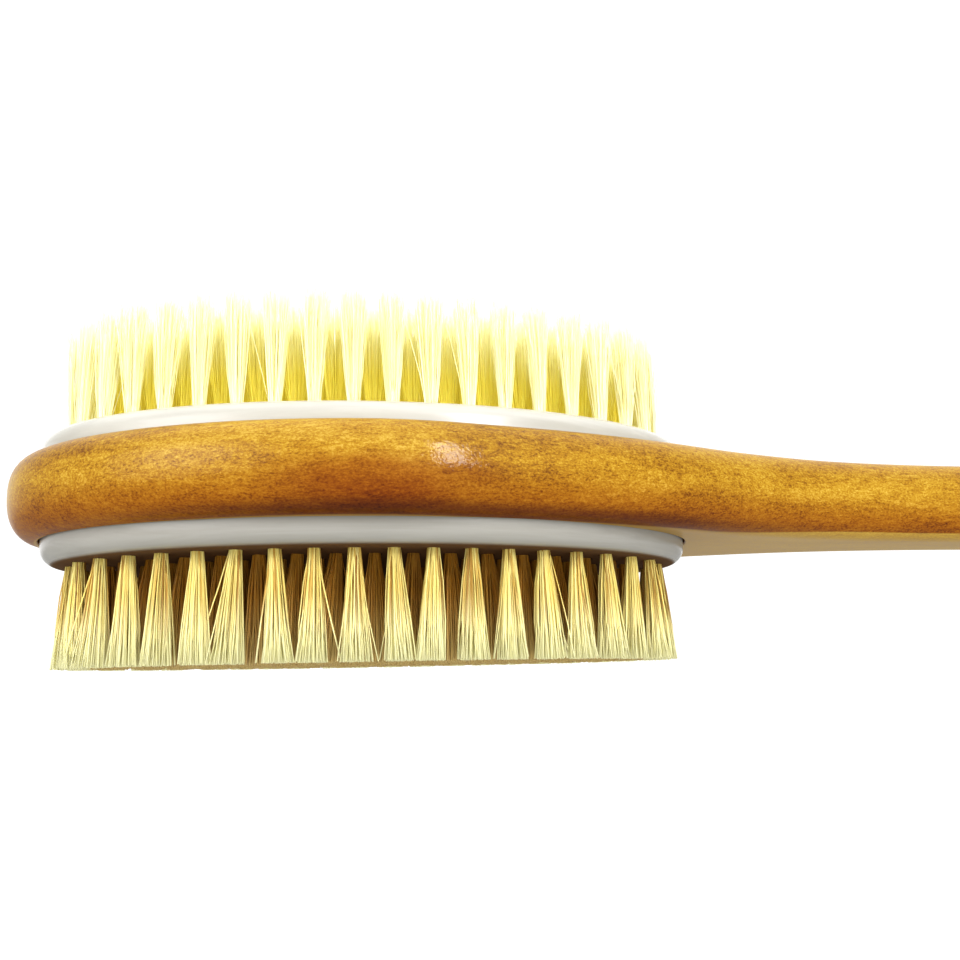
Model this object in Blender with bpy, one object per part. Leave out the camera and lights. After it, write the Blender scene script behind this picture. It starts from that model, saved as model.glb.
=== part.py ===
"""Body dry brush with a bristle pad on each face of a one-piece wooden head and handle.

The origin is on the firm bristle tips, under the middle of the head. +X runs along the handle and +Z
points to the soft bristles. Each pad and its tufts are built with their tips towards +Z, around the
wood's middle plane, and an empty turns the firm side over.
"""

import math

import bmesh
import bpy
from mathutils import Vector

MM = 0.001
FIT_GAP = 0.3 * MM

# Wooden head and handle
WOOD_THICKNESS = 15.5 * MM
WOOD_EDGE_RADIUS = 5.8 * MM
HEAD_HALF_LENGTH = 66 * MM
HEAD_POINTEDNESS = 1.9  # exponent of the nose's superellipse: 2 is an ellipse
HANDLE_END = 335 * MM
HANDLE_CAP_LENGTH = 15 * MM
# Distance from the middle of the head, and half width there, in millimetres
FLANK = (
    (0, 36.2),
    (28, 31.8),
    (50, 25.6),
    (70, 18.2),
    (90, 13.0),
    (115, 10.6),
    (155, 10.8),
    (210, 12.4),
    (270, 13.7),
    (320, 13.7),
)
HANGING_HOLE_X = 321 * MM
HANGING_HOLE_RADIUS = 4 * MM
HANGING_HOLE_CHAMFER = 1.2 * MM

# Plastic pads, each glued in a shallow recess
PAD_HALF_LENGTH = 60.3 * MM
PAD_HALF_WIDTH = 30.3 * MM
PAD_RISE = 4.1 * MM
PAD_SEAT_DEPTH = 3 * MM
PAD_EDGE_RADIUS = 3 * MM
HOLE_HALF_SIDE = 1.2 * MM
HOLE_DEPTH = 5.3 * MM

# Bristle tufts, in oval rows about the pad's middle. The centre row is straight, so its one half is all of it.
# Name, half length, half width, tufts in a half row, banks in a half row, outward lean of the tips
ROWS = (
    ("outer", 55 * MM, 24.4 * MM, 20, 4, 1.2 * MM),
    ("second", 48.9 * MM, 18.3 * MM, 17, 3, 0.8 * MM),
    ("third", 42.8 * MM, 12.2 * MM, 14, 3, 0.5 * MM),
    ("fourth", 36.7 * MM, 6.1 * MM, 11, 2, 0.2 * MM),
    ("centre", 25.6 * MM, 0, 8, 1, 0),
)
TUFT_HALF_NECK = 0.9 * MM
TUFT_TIP_WIDTH = 4.3 * MM
JOINED_SHARE = 0.3  # share of the free length over which neighbouring tufts run together
FIRM_LENGTH = 18.5 * MM
SOFT_LENGTH = 19.5 * MM

PAD_FACE = WOOD_THICKNESS / 2 + PAD_RISE
MIDDLE_HEIGHT = PAD_FACE + FIRM_LENGTH


def clear_scene():
    for item in list(bpy.data.objects):
        bpy.data.objects.remove(item)


def material(name, colour, roughness, coat=0.0):
    made = bpy.data.materials.new(name)
    made.use_nodes = True
    shader = made.node_tree.nodes["Principled BSDF"]
    shader.inputs["Base Color"].default_value = (*colour, 1)
    shader.inputs["Roughness"].default_value = roughness
    shader.inputs["Metallic"].default_value = 0
    shader.inputs["Coat Weight"].default_value = coat
    return made


def side_empty(name, turned):
    """The middle plane of the wood, seen from one side of the brush."""
    empty = bpy.data.objects.new(name, None)
    empty.location = (0, 0, MIDDLE_HEIGHT)
    empty.rotation_euler = (turned, 0, 0)
    bpy.context.scene.collection.objects.link(empty)
    return empty


def add_object(name, mesh, parent, finish=None):
    bmesh.ops.recalc_face_normals(mesh, faces=mesh.faces)
    data = bpy.data.meshes.new(name)
    mesh.to_mesh(data)
    mesh.free()
    made = bpy.data.objects.new(name, data)
    made.parent = parent
    bpy.context.scene.collection.objects.link(made)
    if finish:
        data.materials.append(finish)
        data.shade_smooth()
        data.set_sharp_from_angle(angle=math.radians(35))
    return made


def add_cutter(name, mesh, parent, target):
    cutter = add_object(name, mesh, parent)
    cutter.hide_render = True
    cutter.display_type = "WIRE"
    cut = target.modifiers.new(name, "BOOLEAN")
    cut.operation = "DIFFERENCE"
    cut.solver = "EXACT"
    cut.object = cutter


def loft(mesh, rings):
    """A closed skin over rings with the same number of points, capped at both ends."""
    loops = [[mesh.verts.new(point) for point in ring] for ring in rings]
    for lower, upper in zip(loops, loops[1:]):
        for k in range(len(lower)):
            after = (k + 1) % len(lower)
            mesh.faces.new((lower[k], lower[after], upper[after], upper[k]))
    mesh.faces.new(loops[0])
    mesh.faces.new(loops[-1])


def inset(outline, distance, height):
    """The outline moved inwards along its own normals, at one height."""
    moved = []
    for k, (x, y) in enumerate(outline):
        before, after = outline[k - 1], outline[(k + 1) % len(outline)]
        along = Vector((after[0] - before[0], after[1] - before[1])).normalized()
        moved.append((x - along.y * distance, y + along.x * distance, height))
    return moved


def quarter_round(radius, segments):
    """(inset, rise) of each step round an outside edge, from its side to its face."""
    turns = [math.pi / 2 * k / segments for k in range(segments + 1)]
    return [(radius * (1 - math.cos(turn)), radius * math.sin(turn)) for turn in turns]


def flank_width(x):
    """Half width of the handle side of the wood: a smooth curve through FLANK."""
    points = [(a * MM, b * MM) for a, b in FLANK]
    slopes = [0.0]
    for before, after in zip(points, points[2:]):
        slopes.append((after[1] - before[1]) / (after[0] - before[0]))
    slopes.append(0.0)
    for k in range(len(points) - 1):
        (x0, y0), (x1, y1) = points[k], points[k + 1]
        if x <= x1:
            break
    step = x1 - x0
    t = (x - x0) / step
    return (
        y0 * (1 + 2 * t) * (1 - t) ** 2
        + y1 * (3 - 2 * t) * t**2
        + slopes[k] * step * t * (1 - t) ** 2
        - slopes[k + 1] * step * t**2 * (1 - t)
    )


def wood_outline():
    """The plan of the head and handle, counter-clockwise from the middle of the nose."""
    nose_steps, flank_steps, cap_steps = 14, 26, 7
    power = 2 / HEAD_POINTEDNESS
    side = []
    for k in range(1, nose_steps):
        turn = math.pi / 2 * k / nose_steps
        x = -HEAD_HALF_LENGTH * math.cos(turn) ** power
        side.append((x, flank_width(0) * math.sin(turn) ** power))
    cap_start = HANDLE_END - HANDLE_CAP_LENGTH
    for k in range(flank_steps):
        x = cap_start * (k / flank_steps) ** 1.15
        side.append((x, flank_width(x)))
    for k in range(cap_steps):
        turn = math.pi / 2 * k / cap_steps
        x = cap_start + HANDLE_CAP_LENGTH * math.sin(turn)
        side.append((x, flank_width(cap_start) * math.cos(turn)))
    front = [(x, -y) for x, y in side]
    return [(-HEAD_HALF_LENGTH, 0), *front, (HANDLE_END, 0), *reversed(side)]


def oval(half_length, half_width, steps):
    turns = [2 * math.pi * k / steps for k in range(steps)]
    return [(half_length * math.cos(t), half_width * math.sin(t)) for t in turns]


def make_wooden_body(finish, sides):
    outline = wood_outline()
    half = WOOD_THICKNESS / 2
    flat = half - WOOD_EDGE_RADIUS
    upper = [
        inset(outline, inward, flat + rise)
        for inward, rise in quarter_round(WOOD_EDGE_RADIUS, 4)
    ]
    lower = [[(x, y, -z) for x, y, z in ring] for ring in reversed(upper)]
    mesh = bmesh.new()
    loft(mesh, lower + upper)
    body = add_object("wooden_body", mesh, sides["soft"], finish)

    depth = PAD_SEAT_DEPTH + FIT_GAP
    plan = oval(PAD_HALF_LENGTH + FIT_GAP, PAD_HALF_WIDTH + FIT_GAP, 56)
    for side, empty in sides.items():
        mesh = bmesh.new()
        loft(mesh, [inset(plan, 0, height) for height in (half - depth, half + 1 * MM)])
        add_cutter(f"{side}_pad_recess", mesh, empty, body)

    overshoot = 1 * MM
    mouth = HANGING_HOLE_RADIUS + HANGING_HOLE_CHAMFER + overshoot
    profile = [
        (-half - overshoot, mouth),
        (-half + HANGING_HOLE_CHAMFER, HANGING_HOLE_RADIUS),
        (half - HANGING_HOLE_CHAMFER, HANGING_HOLE_RADIUS),
        (half + overshoot, mouth),
    ]
    rings = []
    for height, radius in profile:
        circle = oval(radius, radius, 20)
        rings.append([(x + HANGING_HOLE_X, y, height) for x, y in circle])
    mesh = bmesh.new()
    loft(mesh, rings)
    add_cutter("hanging_hole", mesh, sides["soft"], body)


def half_row_stations(row, back):
    """Points at every half tuft pitch along one half of an oval row, each with the row's direction there."""
    _, half_length, half_width, tufts, _, _ = row
    steps = 360
    line = []
    for k in range(steps + 1):
        turn = math.pi * k / steps
        y = half_width * math.sin(turn)
        line.append(Vector((-half_length * math.cos(turn), y if back else -y)))
    reach = [0.0]
    for before, after in zip(line, line[1:]):
        reach.append(reach[-1] + (after - before).length)
    stations = []
    segment = 0
    for k in range(2 * tufts + 1):
        target = reach[-1] * k / (2 * tufts)
        while segment < steps - 1 and reach[segment + 1] < target:
            segment += 1
        share = (target - reach[segment]) / (reach[segment + 1] - reach[segment])
        along = line[segment + 1] - line[segment]
        stations.append((line[segment] + along * share, along.normalized()))
    return stations


def half_rows():
    """(row, back) of every half row: the front and the back of an oval, and all of the straight centre row."""
    halves = []
    for row in ROWS:
        halves.append((row, False))
        if row[2]:
            halves.append((row, True))
    return halves


def square(centre, along, half_side, height):
    """Corners of an upright square whose sides follow a row."""
    across = Vector((along.y, -along.x))
    signs = ((-1, -1), (1, -1), (1, 1), (-1, 1))
    corners = [centre + half_side * (a * along + b * across) for a, b in signs]
    return [(corner.x, corner.y, height) for corner in corners]


def make_pad(side, parent, finish):
    outline = oval(PAD_HALF_LENGTH, PAD_HALF_WIDTH, 56)
    half = WOOD_THICKNESS / 2
    rings = [inset(outline, 0, half - PAD_SEAT_DEPTH)]
    for inward, rise in quarter_round(PAD_EDGE_RADIUS, 4):
        rings.append(inset(outline, inward, PAD_FACE - PAD_EDGE_RADIUS + rise))
    mesh = bmesh.new()
    loft(mesh, rings)
    pad = add_object(f"{side}_pad", mesh, parent, finish)

    mesh = bmesh.new()
    for row, back in half_rows():
        for centre, along in half_row_stations(row, back)[1::2]:
            floor, mouth = PAD_FACE - HOLE_DEPTH, PAD_FACE + 1 * MM
            loft(mesh, [square(centre, along, HOLE_HALF_SIDE, z) for z in (floor, mouth)])
    add_cutter(f"{side}_tuft_holes", mesh, parent, pad)


def make_bank(name, stations, lean, length, parent, finish):
    """Neighbouring tufts of one row: each has its own stem in its own hole, and their tips run together."""
    root = PAD_FACE - HOLE_DEPTH + FIT_GAP
    tip = PAD_FACE + length
    joined = tip - JOINED_SHARE * length
    mesh = bmesh.new()
    edges = []
    borders = stations[0::2]
    for k, (point, along) in enumerate(borders):
        outward = Vector((along.y, -along.x))
        if outward.dot(point) < 0:
            outward.negate()
        inner_end = (k == 0) - (k == len(borders) - 1)
        middle = point + along * inner_end * FIT_GAP / 2 + outward * lean
        near = middle - outward * TUFT_TIP_WIDTH / 2
        far = middle + outward * TUFT_TIP_WIDTH / 2
        places = [(near, joined), (far, joined), (near, tip), (far, tip)]
        edges.append([mesh.verts.new((place.x, place.y, z)) for place, z in places])
    for ends in (edges[0], edges[-1]):
        mesh.faces.new((ends[0], ends[1], ends[3], ends[2]))
    for k, (centre, along) in enumerate(stations[1::2]):
        left, right = edges[k], edges[k + 1]
        mesh.faces.new((left[0], right[0], right[2], left[2]))
        mesh.faces.new((left[1], right[1], right[3], left[3]))
        mesh.faces.new((left[2], right[2], right[3], left[3]))
        top = [left[0], right[0], right[1], left[1]]
        side = 1 if (right[1].co - right[0].co).xy.dot(Vector((along.y, -along.x))) > 0 else -1
        loops = []
        for height in (PAD_FACE, root):
            corners = square(centre, along, TUFT_HALF_NECK, height)
            if side < 0:
                corners = [corners[3], corners[2], corners[1], corners[0]]
            loops.append([mesh.verts.new(corner) for corner in corners])
        for upper, lower in ((top, loops[0]), (loops[0], loops[1])):
            for a in range(4):
                b = (a + 1) % 4
                mesh.faces.new((upper[a], upper[b], lower[b], lower[a]))
        mesh.faces.new(loops[1])
    return add_object(name, mesh, parent, finish)


def make_tufts(side, length, parent, finish):
    for row, back in half_rows():
        row_name, _, _, tufts, banks, lean = row
        stations = half_row_stations(row, back)
        starts = [round(tufts * k / banks) for k in range(banks + 1)]
        for k in range(banks):
            name = f"{side}_tufts_{row_name}_{k + 1 + back * banks}"
            span = stations[2 * starts[k] : 2 * starts[k + 1] + 1]
            make_bank(name, span, lean, length, parent, finish)


def main():
    clear_scene()
    wood = material("varnished_wood", (0.50, 0.24, 0.06), 0.35, coat=0.4)
    plastic = material("white_plastic", (0.85, 0.85, 0.84), 0.2)
    firm = material("firm_bristle", (0.80, 0.70, 0.38), 0.5)
    soft = material("soft_bristle", (0.92, 0.88, 0.58), 0.5)
    sides = {"soft": side_empty("soft_side", 0), "firm": side_empty("firm_side", math.pi)}
    make_wooden_body(wood, sides)
    for side, length, finish in (("soft", SOFT_LENGTH, soft), ("firm", FIRM_LENGTH, firm)):
        make_pad(side, sides[side], plastic)
        make_tufts(side, length, sides[side], finish)


main()
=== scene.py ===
"""Looks of the body dry brush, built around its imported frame.

The wood and the pads are made again with finer curves, and every bristle is a strand of its own. Each side
of the brush is made with its bristle tips towards +Z, around the wood's middle plane, and in_row_frame puts
it in its place.
"""

import math
from collections import namedtuple

import bmesh
import bpy
import numpy as np
from mathutils import Matrix, Vector


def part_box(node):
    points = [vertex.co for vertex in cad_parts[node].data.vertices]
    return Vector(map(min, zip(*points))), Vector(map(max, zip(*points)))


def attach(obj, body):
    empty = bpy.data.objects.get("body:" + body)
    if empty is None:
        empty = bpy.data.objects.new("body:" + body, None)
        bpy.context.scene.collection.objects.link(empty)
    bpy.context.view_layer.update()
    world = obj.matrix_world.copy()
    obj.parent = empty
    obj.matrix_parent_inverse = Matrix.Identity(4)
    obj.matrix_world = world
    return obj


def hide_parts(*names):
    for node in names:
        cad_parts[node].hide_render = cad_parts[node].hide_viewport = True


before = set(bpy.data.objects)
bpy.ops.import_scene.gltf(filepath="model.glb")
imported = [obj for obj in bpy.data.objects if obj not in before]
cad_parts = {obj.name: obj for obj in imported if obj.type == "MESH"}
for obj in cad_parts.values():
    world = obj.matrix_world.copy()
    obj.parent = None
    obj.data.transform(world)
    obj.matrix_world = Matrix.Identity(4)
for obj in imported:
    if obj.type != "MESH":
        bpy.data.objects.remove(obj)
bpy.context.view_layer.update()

MM = 0.001
SEED = 12

# Sizes read from the frame
wood_low, wood_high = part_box("wooden_body")
pad_low, pad_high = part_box("soft_pad")
MIDDLE_HEIGHT = (wood_low.z + wood_high.z) / 2
HALF_WOOD = (wood_high.z - wood_low.z) / 2
HEAD_HALF_LENGTH = -wood_low.x
HANDLE_END = wood_high.x
PAD_HALF_LENGTH = pad_high.x
PAD_HALF_WIDTH = pad_high.y
PAD_FACE = pad_high.z - MIDDLE_HEIGHT
PAD_BACK = pad_low.z - MIDDLE_HEIGHT
TIP_HEIGHT = {
    "soft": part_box("soft_tufts_centre_1")[1].z - MIDDLE_HEIGHT,
    "firm": MIDDLE_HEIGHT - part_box("firm_tufts_centre_1")[0].z,
}

# Wooden head and handle, in plan and in section
HEAD_POINTEDNESS = 1.9  # exponent of the nose's superellipse: 2 is an ellipse
HANDLE_CAP_LENGTH = 15 * MM
# Distance from the middle of the head, and half width there, in millimetres
FLANK = (
    (0, 36.2),
    (28, 31.8),
    (50, 25.6),
    (70, 18.2),
    (90, 13.0),
    (115, 10.6),
    (155, 10.8),
    (210, 12.4),
    (270, 13.7),
    (320, 13.7),
)
WOOD_EDGE_INSET = 5.8 * MM
WOOD_EDGE_FULLNESS = 2.4  # exponent of the edge's superellipse
FLAT_MARGIN = 0.5 * MM  # a flat ring that keeps the shading of a face apart from its rounded edge
HANGING_HOLE_X = 321 * MM
HANGING_HOLE_RADIUS = 4 * MM
HANGING_HOLE_CHAMFER = 1.2 * MM
HANGING_HOLE_STEPS = 48

# Tints of the wood, some of them painted shade: the lower half of the edge is darker, partly a darker stain
# and partly painted shade, and painted shade lies along the lower rim of the head and over the upper part of
# the edge. A fade is a pair of heights from the middle plane, over which a tint comes or goes.
# Darker lower half of the edge: partly a darker stain, partly painted shade where the rounded edge faces
# down.
STAIN_AND_SHADE = (0.76, 0.47, 0.16)
STAIN_AND_SHADE_FADE = (-6.5 * MM, 1.5 * MM)
# Painted shade over the upper part of the edge, dimming its top where the lamps light it most.
UPPER_EDGE_SHADE = (0.83, 0.81, 0.68)
UPPER_EDGE_SHADE_FADE = (0.5 * MM, 5.0 * MM)
# Painted shade along the lower rim of the head, where the pad below shades it.
LOWER_RIM_SHADE = (0.50, 0.36, 0.30)
LOWER_RIM_SHADE_FADE = (-7.0 * MM, -5.0 * MM)
LOWER_RIM_SHADE_MIDDLE = 18 * MM  # along X
LOWER_RIM_SHADE_ENDS = (25 * MM, 65 * MM)  # along X, from its middle
UNDERSIDE = (0.64, 0.42, 0.09)
UNDERSIDE_SHARE = 0.5
CREASE_RISE = (60 * MM, 95 * MM)  # along X, where the underside begins to climb round the edge
CREASE_HEIGHTS = (-7.66 * MM, -6.6 * MM)  # from the middle plane, before and after the rise
CREASE_BLUR = 0.1 * MM  # half the width of the border
# A darker patch on the front of the head.
DARK_PATCH_TINT = (0.66, 0.45, 0.20)
DARK_PATCH = (1 * MM, -36 * MM, MIDDLE_HEIGHT - 2.5 * MM)
DARK_PATCH_SIZE = (17 * MM, 14 * MM, 4.5 * MM)

# Pads
FIT_GAP = 0.3 * MM  # round and under a pad, where its glue is
RECESS_DEPTH = HALF_WOOD - PAD_BACK + FIT_GAP
RECESS_LIP = 0.25 * MM
PAD_STEPS = 160
PAD_BACK_CHAMFER = 0.4 * MM
PAD_EDGE_RADIUS = 3 * MM
TUFT_HOLE_RADIUS = 1.2 * MM
TUFT_HOLE_DEPTH = 5.3 * MM
TUFT_HOLE_LIP = 0.15 * MM
TUFT_HOLE_STEPS = 14
ANCHOR_HEIGHT = 1.3 * MM
ANCHOR_HALF_THICKNESS = 0.14 * MM
ANCHOR_BITE = 0.25 * MM
OVERSHOOT = 1 * MM  # how far a cutter stands out of the face that it cuts

PadLook = namedtuple("PadLook", "brightness face_colour")
# Both pads are one white plastic: the firm pad's darker level is painted shade, as it lies in the shade of
# the wood. The firm face's near black-brown between the tufts is painted shade too; the soft face has a
# cream tint.
PAD_LOOKS = {
    "soft": PadLook(0.43, (0.56, 0.52, 0.42)),
    "firm": PadLook(0.35, (0.12, 0.06, 0.02)),
}
PLASTIC_SHADES = ((0.95, 0.92, 0.82), (1.04, 1.01, 0.91))  # at a brightness of 1
FACE_TINT_AND_SHADE_FADE = (PAD_FACE - 0.5 * MM, PAD_FACE - 0.05 * MM)

# Bristle tufts, in oval rows about the pad's middle. The centre row is straight, so one half is all of it.
Row = namedtuple("Row", "name half_length half_width tufts banks lean")
ROWS = (
    Row("outer", 55 * MM, 24.4 * MM, 20, 4, 1.2 * MM),
    Row("second", 48.9 * MM, 18.3 * MM, 17, 3, 0.8 * MM),
    Row("third", 42.8 * MM, 12.2 * MM, 14, 3, 0.5 * MM),
    Row("fourth", 36.7 * MM, 6.1 * MM, 11, 2, 0.2 * MM),
    Row("centre", 25.6 * MM, 0.0, 8, 1, 0.0),
)
NECK_RADIUS = 1.0 * MM
ROOT_DEPTH = 4.6 * MM
ROOT_NARROWING = 0.8  # of the neck's radius, at the root

# tip_radius is of the whole tuft, and the strands spread out to it with the power flare of their length.
# wander moves a tuft's tips together, scatter moves each of them, and bow bends each strand. end_lean is
# the share of the row's lean that goes along X: below 0, tufts at the ends of the oval lean inwards. crown
# is how much shorter a tuft's outermost strands are, and shortest how much shorter chance makes a strand.
Bristle = namedtuple(
    "Bristle",
    "side strands thickness tip_thickness tip_radius flare scatter wander end_lean bow"
    " stray_share stray_reach shortest crown",
)
BRISTLES = {
    "soft": Bristle(
        side="soft",
        strands=160,
        thickness=0.17 * MM,
        tip_thickness=0.10 * MM,
        tip_radius=2.3 * MM,
        flare=1.2,
        scatter=0.22 * MM,
        wander=0.4 * MM,
        end_lean=-1.6,
        bow=0.25 * MM,
        stray_share=0.03,
        stray_reach=2.2 * MM,
        shortest=1.3 * MM,
        crown=0.4 * MM,
    ),
    "firm": Bristle(
        side="firm",
        strands=140,
        thickness=0.28 * MM,
        tip_thickness=0.27 * MM,
        tip_radius=2.45 * MM,
        flare=1.12,
        scatter=0.25 * MM,
        wander=0.5 * MM,
        end_lean=0.1,
        bow=0.25 * MM,
        stray_share=0.04,
        stray_reach=1.6 * MM,
        shortest=0.35 * MM,
        crown=0.0,
    ),
}
RING_SHARES = (0.0, 0.3, 0.65, 1.0)  # of a strand's free length
ROOT_SHARE = -0.25  # of the same length, down into the pad
STRAND_SIDES = 3
THICKNESS_RANGE = (0.75, 1.2)  # from the thinnest strand to the thickest
CROWDING = 0.4  # 0.5 spreads the strands evenly over the tuft, and less crowds them towards its outside
INNER_FLARE = 0.75  # the tufts inside the oval spread out sooner
SHARP_DEGREES = 30

# Per side: strand tones; painted shade on the rows inside the oval, and the share of it left at their tips;
# a paler tip, partly painted light; a faint glow that stands in for light through the bristles.
BristleLook = namedtuple("BristleLook", "tones inner_colour inner_tip tip_colour tip_share glow")
BRISTLE_LOOKS = {
    "soft": BristleLook(
        tones=(
            (0.0, (0.97, 0.90, 0.46)),
            (0.4, (0.99, 0.95, 0.60)),
            (1.0, (0.99, 0.97, 0.74)),
        ),
        inner_colour=(0.99, 0.86, 0.12),
        inner_tip=0.0,
        tip_colour=(0.99, 0.97, 0.66),
        tip_share=0.6,
        glow=0.08,
    ),
    "firm": BristleLook(
        tones=(
            (0.0, (0.26, 0.11, 0.02)),
            (0.16, (0.60, 0.38, 0.09)),
            (0.36, (0.82, 0.66, 0.20)),
            (1.0, (0.89, 0.79, 0.32)),
        ),
        inner_colour=(0.44, 0.20, 0.02),
        inner_tip=0.75,
        tip_colour=(1.0, 0.97, 0.56),
        tip_share=0.95,
        glow=0.012,
    ),
}
# Painted shade on the rows inside the oval: its share at a tuft's neck
INNER_SHADE_SHARE = 0.9  # of inner_colour, at the neck of a tuft inside the oval
TIP_FADE = (0.3, 1.0)  # along a strand's free length

CAMERA_PLACE = (0.9 * MM, -162.96 * MM, MIDDLE_HEIGHT - 33.9 * MM)
CAMERA_PITCH, CAMERA_YAW, CAMERA_ROLL = 0.1016, -0.1172, 0.0207
CAMERA_LENS = 31.875
CAMERA_SHIFT = (0.0, 0.1198)

SKY_ABOVE, SKY_BEHIND, SKY_AROUND, SKY_BELOW = 1.7, 1.3, 0.55, 0.62
FLOOR_HALF_SIZE = 6.0
FLOOR_DEPTH = 0.5  # below the bristle tips

# Soft lights, each facing the head. Only the mirrored ones show in the varnish and the plastic.
Light = namedtuple("Light", "name place size watts shape mirrored")
LIGHTS = (
    Light("key", (0.0, -0.90, 0.85), (1.0, 0.35), 4.8, "RECTANGLE", False),
    Light("fill", (0.1, -1.10, -0.30), (1.4, 0.20), 4.5, "RECTANGLE", False),
    Light("window", (0.38, -0.85, 0.46), (0.11, 0.46), 3.9, "RECTANGLE", True),
    Light("left", (-0.70, -0.68, 0.40), (0.80, 0.75), 2.6, "ELLIPSE", True),
    Light("left_core", (-0.70, -0.68, 0.42), (0.42, 0.40), 1.2, "ELLIPSE", True),
)


class Graph:
    """Short ways to add nodes to a node tree."""

    def __init__(self, tree, coordinates):
        self.tree = tree
        self.place = tree.nodes.new("ShaderNodeTexCoord").outputs[coordinates]

    def feed(self, socket, value):
        """Links a socket to an output, or sets it to a number or a colour."""
        if isinstance(value, bpy.types.NodeSocket):
            self.tree.links.new(value, socket)
        else:
            socket.default_value = value

    def split(self, vector):
        made = self.tree.nodes.new("ShaderNodeSeparateXYZ")
        self.feed(made.inputs["Vector"], vector)
        return made.outputs

    def noise(self, stretch, detail=4.0, roughness=0.55, distortion=0.0, shift=(0, 0, 0)):
        """Noise whose features are 1/stretch metres long on each axis."""
        mapping = self.tree.nodes.new("ShaderNodeMapping")
        self.feed(mapping.inputs["Vector"], self.place)
        mapping.inputs["Scale"].default_value = stretch
        mapping.inputs["Location"].default_value = shift
        texture = self.tree.nodes.new("ShaderNodeTexNoise")
        self.feed(texture.inputs["Vector"], mapping.outputs["Vector"])
        texture.inputs["Scale"].default_value = 1
        texture.inputs["Detail"].default_value = detail
        texture.inputs["Roughness"].default_value = roughness
        texture.inputs["Distortion"].default_value = distortion
        return texture.outputs["Fac"]

    def spread(self, value, low, high, to_low=0.0, to_high=1.0, smooth=True):
        """Takes low..high to to_low..to_high and stops there."""
        made = self.tree.nodes.new("ShaderNodeMapRange")
        made.interpolation_type = "SMOOTHSTEP" if smooth else "LINEAR"
        self.feed(made.inputs["Value"], value)
        made.inputs["From Min"].default_value = low
        made.inputs["From Max"].default_value = high
        made.inputs["To Min"].default_value = to_low
        made.inputs["To Max"].default_value = to_high
        return made.outputs["Result"]

    def maths(self, operation, first, second=0.0):
        made = self.tree.nodes.new("ShaderNodeMath")
        made.operation = operation
        self.feed(made.inputs[0], first)
        self.feed(made.inputs[1], second)
        return made.outputs["Value"]

    def mix(self, share, first, second, blend="MIX"):
        made = self.tree.nodes.new("ShaderNodeMix")
        made.data_type = "RGBA"
        made.blend_type = blend
        self.feed(made.inputs["Factor"], share)
        colours = [socket for socket in made.inputs if socket.type == "RGBA"]
        for socket, value in zip(colours, (first, second)):
            self.feed(socket, value if isinstance(value, bpy.types.NodeSocket) else (*value, 1))
        return [socket for socket in made.outputs if socket.type == "RGBA"][0]

    def ramp(self, value, *stops):
        """Colours along a value, given as (position, colour) pairs."""
        made = self.tree.nodes.new("ShaderNodeValToRGB")
        self.feed(made.inputs["Fac"], value)
        steps = made.color_ramp.elements
        while len(steps) < len(stops):
            steps.new(1)
        for step, (position, colour) in zip(steps, stops):
            step.position = position
            step.color = (*colour, 1)
        return made.outputs["Color"]

    def attribute(self, name):
        made = self.tree.nodes.new("ShaderNodeAttribute")
        made.attribute_name = name
        return made.outputs["Fac"]

    def patch(self, centre, size, ragged):
        """1 inside an ellipsoid, fading to 0 across a ragged edge."""
        away = self.tree.nodes.new("ShaderNodeVectorMath")
        away.operation = "SUBTRACT"
        self.feed(away.inputs[0], self.place)
        away.inputs[1].default_value = centre
        scaled = self.tree.nodes.new("ShaderNodeVectorMath")
        scaled.operation = "DIVIDE"
        self.feed(scaled.inputs[0], away.outputs["Vector"])
        scaled.inputs[1].default_value = size
        length = self.tree.nodes.new("ShaderNodeVectorMath")
        length.operation = "LENGTH"
        self.feed(length.inputs[0], scaled.outputs["Vector"])
        edge = self.maths("ADD", length.outputs["Value"], self.maths("MULTIPLY", ragged, 1.2))
        return self.spread(edge, 1.1, 2.0, 1, 0)

    def grey(self, level):
        made = self.tree.nodes.new("ShaderNodeCombineColor")
        for socket in ("Red", "Green", "Blue"):
            self.feed(made.inputs[socket], level)
        return made.outputs["Color"]

    def bump(self, height, strength, distance):
        made = self.tree.nodes.new("ShaderNodeBump")
        self.feed(made.inputs["Height"], height)
        made.inputs["Strength"].default_value = strength
        made.inputs["Distance"].default_value = distance
        return made.outputs["Normal"]


class Finish(Graph):
    """A new material with one Principled shader, patterned in the piece's own coordinates."""

    def __init__(self, name):
        self.material = bpy.data.materials.new(name)
        self.material.use_nodes = True
        super().__init__(self.material.node_tree, "Object")
        self.shader = self.tree.nodes["Principled BSDF"]

    def set(self, **values):
        for name, value in values.items():
            self.feed(self.shader.inputs[name.replace("_", " ")], value)


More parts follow.
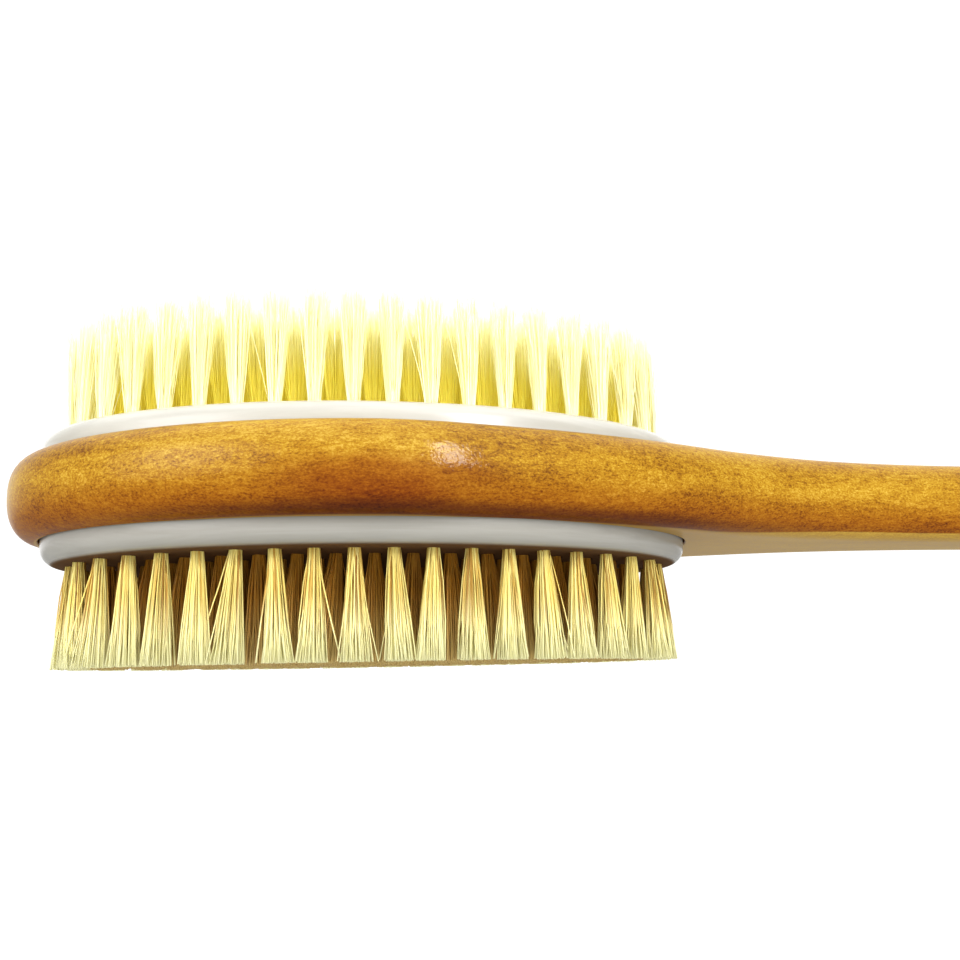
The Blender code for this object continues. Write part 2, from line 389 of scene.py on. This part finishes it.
def edges_with_stain_and_shade(wood, colour):
    """The colour with a darker stain and painted shade on the lower half of the edge, painted shade along
    the lower rim of the head, where the pad shades it, painted shade that dims the upper part of the edge,
    and an underside that is paler because it took less stain."""
    way = wood.split(wood.place)
    height = wood.maths("SUBTRACT", way["Z"], MIDDLE_HEIGHT)
    crease = wood.spread(way["X"], *CREASE_RISE, *CREASE_HEIGHTS)
    above_crease = wood.spread(wood.maths("SUBTRACT", height, crease), -CREASE_BLUR, CREASE_BLUR)
    # Painted shade, with a darker stain, on the lower half of the edge above the crease
    stain = wood.maths("MULTIPLY", wood.spread(height, *STAIN_AND_SHADE_FADE, 1, 0), above_crease)
    stained_and_shaded = wood.mix(stain, colour, STAIN_AND_SHADE, "MULTIPLY")
    # Painted shade along the lower rim of the head, faded out towards its ends along X
    from_middle = wood.maths("ABSOLUTE", wood.maths("SUBTRACT", way["X"], LOWER_RIM_SHADE_MIDDLE))
    on_head = wood.spread(from_middle, *LOWER_RIM_SHADE_ENDS, 1, 0)
    rim_shade_share = wood.maths("MULTIPLY", wood.spread(height, *LOWER_RIM_SHADE_FADE, 1, 0), on_head)
    rim_shaded = wood.mix(rim_shade_share, stained_and_shaded, LOWER_RIM_SHADE, "MULTIPLY")
    # Painted shade over the upper part of the edge
    edges_shaded = wood.mix(wood.spread(height, *UPPER_EDGE_SHADE_FADE), rim_shaded, UPPER_EDGE_SHADE, "MULTIPLY")
    below_crease = wood.maths("MULTIPLY", UNDERSIDE_SHARE, wood.maths("SUBTRACT", 1.0, above_crease))
    return wood.mix(below_crease, edges_shaded, UNDERSIDE)


def wood_material():
    """Satin varnish over orange-brown wood: a fine mottled grain along X, with slow darker and paler
    blotches, edges with stain and painted shade, and a darker patch on the front. The varnish is a little
    pebbled."""
    wood = Finish("varnished_wood")
    streak = wood.noise((320, 1500, 1500), detail=5, roughness=0.66, distortion=0.5)
    fleck = wood.noise((2100, 3600, 3600), detail=3, roughness=0.7, shift=(3, 1, 2))
    cloud = wood.noise((24, 60, 95), detail=3, roughness=0.5, distortion=1.0, shift=(1.7, 0.4, 6.2))
    fine = wood.maths("ADD", wood.maths("MULTIPLY", streak, 0.4), wood.maths("MULTIPLY", fleck, 0.6))
    tone = wood.maths("ADD", wood.maths("MULTIPLY", fine, 0.74), wood.maths("MULTIPLY", cloud, 0.26))
    colour = wood.ramp(
        wood.spread(tone, 0.38, 0.62, smooth=False),
        (0.0, (0.14, 0.048, 0.002)),
        (0.40, (0.335, 0.166, 0.007)),
        (0.70, (0.44, 0.262, 0.020)),
        (1.0, (0.545, 0.370, 0.065)),
    )
    patch = wood.patch(DARK_PATCH, DARK_PATCH_SIZE, cloud)
    pebbles = wood.noise((1300, 2000, 2000), detail=2, roughness=0.5, shift=(5, 2, 7))
    wood.set(
        Base_Color=wood.mix(patch, edges_with_stain_and_shade(wood, colour), DARK_PATCH_TINT, "MULTIPLY"),
        Roughness=wood.spread(fine, 0.35, 0.65, 0.40, 0.52),
        Normal=wood.bump(fine, 0.25, 0.08 * MM),
        Coat_Normal=wood.bump(pebbles, 0.35, 0.10 * MM),
        Specular_IOR_Level=0.12,
        Coat_Weight=0.25,
        Coat_Roughness=0.05,
    )
    return wood.material


def plastic_material(side):
    """Glossy white moulding with faint flow marks. Its face is matt, and has a tint between the tufts, which
    on the firm side is a painted shade.
    """
    look = PAD_LOOKS[side]
    plastic = Finish(f"{side}_side_plastic")
    flow = plastic.noise((22, 60, 260), detail=4, roughness=0.6, distortion=1.6)
    # The lower level on the firm side is painted shade
    darker, paler = (tuple(part * look.brightness for part in shade) for shade in PLASTIC_SHADES)
    colour = plastic.ramp(plastic.spread(flow, 0.35, 0.65), (0.0, darker), (1.0, paler))
    waviness = plastic.noise((120, 120, 120), detail=2, roughness=0.4)
    height = plastic.maths("SUBTRACT", plastic.split(plastic.place)["Z"], MIDDLE_HEIGHT)
    on_face = plastic.spread(plastic.maths("ABSOLUTE", height), *FACE_TINT_AND_SHADE_FADE)
    plastic.set(
        # The face's tint; on the firm side it is painted shade between the tufts
        Base_Color=plastic.mix(on_face, colour, look.face_colour),
        Roughness=plastic.maths("MAXIMUM", plastic.spread(flow, 0.3, 0.7, 0.16, 0.26), on_face),
        Normal=plastic.bump(waviness, 0.12, 0.3 * MM),
    )
    return plastic.material


def bristle_material(side):
    """Each strand has its own tone, and is paler at its tip, partly the bristle's own paler tips and partly
    painted light on them, less of it on the rows inside the oval. The rows inside the oval have painted
    shade, darkest at the neck, and inner_tip is how much of that is left at their tips. A very faint glow
    stands in for the light that passes through real bristles."""
    look = BRISTLE_LOOKS[side]
    bristle = Finish(f"{side}_bristle")
    own = bristle.attribute("tone")
    reach = bristle.attribute("reach")
    depth = bristle.attribute("depth")
    outward = bristle.maths("SUBTRACT", 1.0, bristle.maths("MULTIPLY", depth, look.inner_tip))
    # Paler tips, partly painted light, less of it on the rows inside the oval
    tip = bristle.maths("MULTIPLY", bristle.spread(reach, *TIP_FADE, 0, look.tip_share), outward)
    # Painted shade on the rows inside the oval, fading towards their tips
    fading = bristle.spread(reach, *TIP_FADE, INNER_SHADE_SHARE, INNER_SHADE_SHARE * look.inner_tip)
    inward = bristle.maths("MULTIPLY", depth, fading)
    # The painted shade mixed in on the rows inside the oval
    deep = bristle.mix(inward, bristle.ramp(own, *look.tones), look.inner_colour)
    pale = bristle.mix(tip, deep, look.tip_colour)
    streak = bristle.spread(bristle.noise((2500, 2500, 260), detail=2), 0.3, 0.7, 0.92, 1.04)
    bristle.set(
        Base_Color=bristle.mix(1.0, pale, bristle.grey(streak), "MULTIPLY"),
        Roughness=bristle.spread(own, 0, 1, 0.35, 0.5),
        Specular_IOR_Level=0.25,
        Emission_Color=(*look.inner_colour, 1),
        Emission_Strength=look.glow,
    )
    return bristle.material


def steel_material():
    """Bright drawn wire with scratches along it."""
    steel = Finish("anchor_steel")
    scratch = steel.noise((300, 4000, 4000), detail=3)
    steel.set(
        Base_Color=steel.ramp(scratch, (0.3, (0.42, 0.42, 0.43)), (0.7, (0.62, 0.62, 0.62))),
        Roughness=steel.spread(scratch, 0.3, 0.7, 0.25, 0.4),
        Metallic=1.0,
    )
    return steel.material


def in_row_frame(points, side):
    """Points made around the wood's middle plane, with the firm side turned over about X."""
    moved = np.array(points, float).reshape(-1, 3)
    if side == "firm":
        moved[:, 1:] *= -1
    moved[:, 2] += MIDDLE_HEIGHT
    return moved


def add_object(name, data, finish=None):
    made = bpy.data.objects.new(name, data)
    bpy.context.scene.collection.objects.link(made)
    if finish:
        data.materials.append(finish)
    return made


def mesh_object(name, mesh, finish=None):
    """An object made of a bmesh, which is freed."""
    data = bpy.data.meshes.new(name)
    mesh.to_mesh(data)
    mesh.free()
    return add_object(name, data, finish)


def smooth(piece):
    piece.data.shade_smooth()
    piece.data.set_sharp_from_angle(angle=math.radians(SHARP_DEGREES))


def loft(mesh, rings):
    """A closed skin over rings with the same number of points, capped at both ends."""
    loops = [[mesh.verts.new(point) for point in ring] for ring in rings]
    for lower, upper in zip(loops, loops[1:]):
        for k in range(len(lower)):
            after = (k + 1) % len(lower)
            mesh.faces.new((lower[k], lower[after], upper[after], upper[k]))
    mesh.faces.new(loops[0][::-1])
    mesh.faces.new(loops[-1])


def carve(target, mesh):
    """Cuts the bmesh out of an object for good."""
    bmesh.ops.recalc_face_normals(mesh, faces=mesh.faces)
    cutter = mesh_object("cutter", mesh)
    cut = target.modifiers.new("cut", "BOOLEAN")
    cut.operation = "DIFFERENCE"
    cut.solver = "EXACT"
    cut.object = cutter
    graph = bpy.context.evaluated_depsgraph_get()
    carved = bpy.data.meshes.new_from_object(target.evaluated_get(graph))
    target.modifiers.clear()
    target.data = carved
    bpy.data.objects.remove(cutter)


def inset(outline, distance, height):
    """The outline moved inwards along its own normals, at one height."""
    moved = []
    for k, (x, y) in enumerate(outline):
        before, after = outline[k - 1], outline[(k + 1) % len(outline)]
        along = Vector((after[0] - before[0], after[1] - before[1])).normalized()
        moved.append((x - along.y * distance, y + along.x * distance, height))
    return moved


def oval(half_length, half_width, steps):
    turns = [2 * math.pi * k / steps for k in range(steps)]
    return [(half_length * math.cos(t), half_width * math.sin(t)) for t in turns]


def flank_width(x):
    """Half width of the handle side of the wood: a smooth curve through FLANK."""
    points = [(a * MM, b * MM) for a, b in FLANK]
    slopes = [0.0]
    for before, after in zip(points, points[2:]):
        slopes.append((after[1] - before[1]) / (after[0] - before[0]))
    slopes.append(0.0)
    for k in range(len(points) - 1):
        (x0, y0), (x1, y1) = points[k], points[k + 1]
        if x <= x1:
            break
    step = x1 - x0
    t = (x - x0) / step
    return (
        y0 * (1 + 2 * t) * (1 - t) ** 2
        + y1 * (3 - 2 * t) * t**2
        + slopes[k] * step * t * (1 - t) ** 2
        - slopes[k + 1] * step * t**2 * (1 - t)
    )


def wood_outline():
    """The plan of the head and handle, counter-clockwise from the middle of the nose."""
    nose_steps, flank_steps, cap_steps = 44, 110, 20
    bunching = 1.15  # above 1, the points of the flank stand closer together towards the head
    power = 2 / HEAD_POINTEDNESS
    side = []
    for k in range(1, nose_steps):
        turn = math.pi / 2 * k / nose_steps
        x = -HEAD_HALF_LENGTH * math.cos(turn) ** power
        side.append((x, flank_width(0) * math.sin(turn) ** power))
    cap_start = HANDLE_END - HANDLE_CAP_LENGTH
    for k in range(flank_steps):
        x = cap_start * (k / flank_steps) ** bunching
        side.append((x, flank_width(x)))
    for k in range(cap_steps):
        turn = math.pi / 2 * k / cap_steps
        x = cap_start + HANDLE_CAP_LENGTH * math.sin(turn)
        side.append((x, flank_width(cap_start) * math.cos(turn)))
    front = [(x, -y) for x, y in side]
    return [(-HEAD_HALF_LENGTH, 0), *front, (HANDLE_END, 0), *reversed(side)]


def carve_recess(wood, side):
    plan = oval(PAD_HALF_LENGTH + FIT_GAP, PAD_HALF_WIDTH + FIT_GAP, PAD_STEPS)
    steps = (
        (0, HALF_WOOD - RECESS_DEPTH),
        (0, HALF_WOOD - RECESS_LIP),
        (-RECESS_LIP - OVERSHOOT, HALF_WOOD + OVERSHOOT),
    )
    mesh = bmesh.new()
    loft(mesh, [in_row_frame(inset(plan, inward, height), side) for inward, height in steps])
    carve(wood, mesh)


def carve_hanging_hole(wood):
    mouth = HANGING_HOLE_RADIUS + HANGING_HOLE_CHAMFER + OVERSHOOT
    rings = []
    for height, radius in (
        (-HALF_WOOD - OVERSHOOT, mouth),
        (-HALF_WOOD + HANGING_HOLE_CHAMFER, HANGING_HOLE_RADIUS),
        (HALF_WOOD - HANGING_HOLE_CHAMFER, HANGING_HOLE_RADIUS),
        (HALF_WOOD + OVERSHOOT, mouth),
    ):
        circle = oval(radius, radius, HANGING_HOLE_STEPS)
        rings.append(in_row_frame([(x + HANGING_HOLE_X, y, height) for x, y in circle], "soft"))
    mesh = bmesh.new()
    loft(mesh, rings)
    carve(wood, mesh)


def make_wood(finish):
    outline = wood_outline()
    power = 2 / WOOD_EDGE_FULLNESS
    edge_steps = 12
    upper = []
    for k in range(edge_steps + 1):
        turn = math.pi / 2 * k / edge_steps
        inward = WOOD_EDGE_INSET * (1 - math.cos(turn) ** power)
        upper.append(inset(outline, inward, HALF_WOOD * math.sin(turn) ** power))
    upper.append(inset(outline, WOOD_EDGE_INSET + FLAT_MARGIN, HALF_WOOD))
    lower = [[(x, y, -z) for x, y, z in ring] for ring in reversed(upper[1:])]
    mesh = bmesh.new()
    loft(mesh, [in_row_frame(ring, "soft") for ring in lower + upper])
    wood = mesh_object("wood_handle_and_head", mesh, finish)
    for side in BRISTLES:
        carve_recess(wood, side)
    carve_hanging_hole(wood)
    smooth(wood)
    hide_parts("wooden_body")
    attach(wood, "root")


def half_row_stations(row, back):
    """Points at every half tuft pitch along one half of an oval row, with the row's direction there."""
    steps = 360
    line = []
    for k in range(steps + 1):
        turn = math.pi * k / steps
        y = row.half_width * math.sin(turn)
        line.append(Vector((-row.half_length * math.cos(turn), y if back else -y)))
    reach = [0.0]
    for before, after in zip(line, line[1:]):
        reach.append(reach[-1] + (after - before).length)
    stations = []
    segment = 0
    for k in range(2 * row.tufts + 1):
        target = reach[-1] * k / (2 * row.tufts)
        while segment < steps - 1 and reach[segment + 1] < target:
            segment += 1
        share = (target - reach[segment]) / (reach[segment + 1] - reach[segment])
        along = line[segment + 1] - line[segment]
        stations.append((line[segment] + along * share, along.normalized()))
    return stations


def half_rows():
    """(row, back) of every half row: both halves of an oval, and all of the straight centre row."""
    halves = []
    for row in ROWS:
        halves.append((row, False))
        if row.half_width:
            halves.append((row, True))
    return halves


def tuft_places():
    """The middle of every tuft hole on one side."""
    places = []
    for row, back in half_rows():
        places += [centre for centre, _ in half_row_stations(row, back)[1::2]]
    return places


def make_pad(side, finish):
    outline = oval(PAD_HALF_LENGTH, PAD_HALF_WIDTH, PAD_STEPS)
    edge_steps = 10
    rings = [inset(outline, PAD_BACK_CHAMFER, PAD_BACK), inset(outline, 0, PAD_BACK + PAD_BACK_CHAMFER)]
    for k in range(edge_steps + 1):
        turn = math.pi / 2 * k / edge_steps
        inward = PAD_EDGE_RADIUS * (1 - math.cos(turn))
        rings.append(inset(outline, inward, PAD_FACE - PAD_EDGE_RADIUS * (1 - math.sin(turn))))
    rings.append(inset(outline, PAD_EDGE_RADIUS + FLAT_MARGIN, PAD_FACE))
    mesh = bmesh.new()
    loft(mesh, [in_row_frame(ring, side) for ring in rings])
    pad = mesh_object(f"{side}_bristle_plate", mesh, finish)

    mesh = bmesh.new()
    for place in tuft_places():
        rings = []
        for height, radius in (
            (PAD_FACE - TUFT_HOLE_DEPTH, TUFT_HOLE_RADIUS),
            (PAD_FACE - TUFT_HOLE_LIP, TUFT_HOLE_RADIUS),
            (PAD_FACE + OVERSHOOT, TUFT_HOLE_RADIUS + TUFT_HOLE_LIP + OVERSHOOT),
        ):
            circle = oval(radius, radius, TUFT_HOLE_STEPS)
            rings.append(in_row_frame([(x + place.x, y + place.y, height) for x, y in circle], side))
        loft(mesh, rings)
    carve(pad, mesh)
    smooth(pad)
    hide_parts(f"{side}_pad")
    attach(pad, "root")


def make_anchors(side, finish):
    """The flat wire that a tuft is folded over, across each hole's floor. Its ends bite the plastic."""
    floor = PAD_FACE - TUFT_HOLE_DEPTH
    top = floor + ANCHOR_HEIGHT
    point = TUFT_HOLE_RADIUS + ANCHOR_BITE
    profile = (
        (-point, 0),
        (-TUFT_HOLE_RADIUS, -ANCHOR_HALF_THICKNESS),
        (TUFT_HOLE_RADIUS, -ANCHOR_HALF_THICKNESS),
        (point, 0),
        (TUFT_HOLE_RADIUS, ANCHOR_HALF_THICKNESS),
        (-TUFT_HOLE_RADIUS, ANCHOR_HALF_THICKNESS),
    )
    mesh = bmesh.new()
    for place in tuft_places():
        rings = [[(x + place.x, y + place.y, height) for x, y in profile] for height in (floor, top)]
        loft(mesh, [in_row_frame(ring, side) for ring in rings])
    anchors = mesh_object(f"{side}_tuft_anchors", mesh, finish)
    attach(anchors, "root")


def tuft_strands(rng, bristle, centre, outward, lean, flare):
    """The middle line of every strand of one tuft: strands by rings by 3."""
    count = bristle.strands
    spot = rng.random(count) ** CROWDING
    turn = rng.random(count) * 2 * math.pi
    spoke = np.stack([np.cos(turn), np.sin(turn)], 1)
    neck = spoke * spot[:, None] * NECK_RADIUS
    whole_lean = outward * (bristle.end_lean, 1) * lean + rng.normal(0, bristle.wander, 2)
    tips = spoke * spot[:, None] * bristle.tip_radius + rng.normal(0, bristle.scatter, (count, 2))
    stray = rng.random(count) < bristle.stray_share
    tips[stray] += rng.normal(0, bristle.stray_reach, (int(stray.sum()), 2))
    tips += whole_lean
    length = TIP_HEIGHT[bristle.side] - PAD_FACE
    lengths = length - bristle.crown * spot**2 - bristle.shortest * rng.random(count) ** 2
    bow = rng.normal(0, bristle.bow, (count, 2))
    rings = [np.column_stack([neck * ROOT_NARROWING, np.full(count, -ROOT_DEPTH)])]
    for share in RING_SHARES:
        flat = neck + (tips - neck) * share**flare + bow * math.sin(math.pi * share)
        rings.append(np.column_stack([flat, lengths * share]))
    lines = np.stack(rings, 1)
    lines += np.array((centre.x, centre.y, PAD_FACE))
    return lines


def strand_tubes(name, bristle, lines, depth, rng):
    """One mesh of thin closed tubes round the strands' middle lines, with smooth walls and flat ends."""
    count, rings, _ = lines.shape
    shares = np.array((ROOT_SHARE, *RING_SHARES))
    radius = np.interp(shares, (0, 1), (bristle.thickness / 2, bristle.tip_thickness / 2))
    radius = radius[None, :] * rng.uniform(*THICKNESS_RANGE, count)[:, None]
    turn = rng.random(count)[:, None] * 2 * math.pi + np.arange(STRAND_SIDES) * 2 * math.pi / STRAND_SIDES
    around = np.stack([np.cos(turn), np.sin(turn), np.zeros_like(turn)], -1)
    points = lines[:, :, None, :] + radius[:, :, None, None] * around[:, None, :, :]
    corner = np.arange(STRAND_SIDES)
    after = (corner + 1) % STRAND_SIDES
    wall = np.stack([corner, after, after + STRAND_SIDES, corner + STRAND_SIDES], 1)
    strand_start = np.arange(count) * rings * STRAND_SIDES
    ring_start = np.arange(rings - 1) * STRAND_SIDES
    walls = (strand_start[:, None, None, None] + ring_start[None, :, None, None] + wall).reshape(-1, 4)
    last_ring = (rings - 1) * STRAND_SIDES
    floors = strand_start[:, None] + corner[::-1]
    roofs = strand_start[:, None] + last_ring + corner
    data = bpy.data.meshes.new(name)
    faces = walls.tolist() + floors.tolist() + roofs.tolist()
    data.from_pydata(in_row_frame(points, bristle.side).tolist(), [], faces)
    data.polygons.foreach_set("use_smooth", [True] * len(walls) + [False] * 2 * count)
    tone = np.repeat(rng.random(count), rings * STRAND_SIDES)
    reach = np.tile(np.repeat(shares, STRAND_SIDES), count)
    for label, values in (("tone", tone), ("reach", reach), ("depth", np.full_like(reach, depth))):
        attribute = data.attributes.new(label, "FLOAT", "POINT")
        attribute.data.foreach_set("value", values.astype(np.float32))
    return data


def make_bristles(rng, bristle, finish):
    """A piece for each bank of tufts in the frame. The outer row has depth 0, and those inside it have 1."""
    for row, back in half_rows():
        tufts = half_row_stations(row, back)[1::2]
        starts = [round(row.tufts * k / row.banks) for k in range(row.banks + 1)]
        depth = 0 if row.name == "outer" else 1
        flare = bristle.flare * (INNER_FLARE if depth else 1)
        for k in range(row.banks):
            number = k + 1 + back * row.banks
            lines = []
            for centre, along in tufts[starts[k] : starts[k + 1]]:
                outward = Vector((along.y, -along.x))
                if outward.dot(centre) < 0:
                    outward.negate()
                lines.append(tuft_strands(rng, bristle, centre, np.array(outward), row.lean, flare))
            name = f"{bristle.side}_bristles_{row.name}_{number}"
            data = strand_tubes(name, bristle, np.concatenate(lines), depth, rng)
            piece = add_object(name, data, finish)
            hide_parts(f"{bristle.side}_tufts_{row.name}_{number}")
            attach(piece, "root")


def make_camera():
    data = bpy.data.cameras.new("camera")
    data.sensor_width = 36
    data.lens = CAMERA_LENS
    data.shift_x, data.shift_y = CAMERA_SHIFT
    data.clip_start = 0.01
    camera = bpy.data.objects.new("camera", data)
    turn = (
        Matrix.Rotation(CAMERA_YAW, 4, "Z")
        @ Matrix.Rotation(CAMERA_PITCH, 4, "X")
        @ Matrix.Rotation(CAMERA_ROLL, 4, "Y")
        @ Matrix.Rotation(math.pi / 2, 4, "X")
    )
    camera.matrix_world = Matrix.Translation(CAMERA_PLACE) @ turn
    bpy.context.scene.collection.objects.link(camera)
    bpy.context.scene.camera = camera


def make_light(light, target):
    data = bpy.data.lights.new(light.name, "AREA")
    data.shape = light.shape
    data.size, data.size_y = light.size
    data.energy = light.watts
    lamp = bpy.data.objects.new(light.name, data)
    lamp.visible_glossy = light.mirrored
    lamp.location = light.place
    lamp.rotation_euler = (Vector(target) - Vector(light.place)).to_track_quat("-Z", "Y").to_euler()
    bpy.context.scene.collection.objects.link(lamp)


def make_world():
    """White all round for the camera. As light, it is bright above and behind the brush, and dim below it
    and in front, where the room is."""
    world = bpy.data.worlds.new("studio")
    world.use_nodes = True
    bpy.context.scene.world = world
    sky = Graph(world.node_tree, "Generated")
    way = sky.split(sky.place)
    behind = sky.maths("MULTIPLY", sky.spread(way["Y"], 0.1, 0.8), sky.spread(way["Z"], -0.1, 0.1))
    around = sky.spread(behind, 0, 1, SKY_AROUND, SKY_BEHIND, smooth=False)
    level = sky.maths("MULTIPLY", around, sky.spread(way["Z"], -0.55, -0.1, SKY_BELOW / SKY_AROUND, 1))
    level = sky.maths("MAXIMUM", level, sky.spread(way["Z"], 0.3, 0.95, 0, SKY_ABOVE))
    seen = sky.tree.nodes.new("ShaderNodeLightPath").outputs["Is Camera Ray"]
    colour = sky.mix(seen, sky.grey(level), (1.0, 1.0, 1.0))
    sky.feed(sky.tree.nodes["Background"].inputs["Color"], colour)


def make_floor():
    """A plain pale floor well below the brush. It neither lights the brush nor shows in its gloss."""
    mesh = bmesh.new()
    bmesh.ops.create_grid(mesh, x_segments=1, y_segments=1, size=FLOOR_HALF_SIZE)
    pale = Finish("floor")
    pale.set(Base_Color=(0.95, 0.95, 0.95, 1), Roughness=0.9)
    pale.set(Emission_Color=(1, 1, 1, 1), Emission_Strength=0.7)
    floor = mesh_object("floor", mesh, pale.material)
    floor.location = (0, 0, -FLOOR_DEPTH)
    floor.visible_diffuse = False
    floor.visible_glossy = False


make_camera()
make_world()
make_floor()
for light in LIGHTS:
    make_light(light, (0, 0, MIDDLE_HEIGHT))

wood_finish = wood_material()
plastic_finish = {side: plastic_material(side) for side in BRISTLES}
steel_finish = steel_material()
bristle_finish = {side: bristle_material(side) for side in BRISTLES}
make_wood(wood_finish)
rng = np.random.default_rng(SEED)
for side, bristle in BRISTLES.items():
    make_pad(side, plastic_finish[side])
    make_anchors(side, steel_finish)
    make_bristles(rng, bristle, bristle_finish[side])

bpy.context.scene.view_settings.view_transform = "Standard"
bpy.context.scene.view_settings.look = "Medium High Contrast"
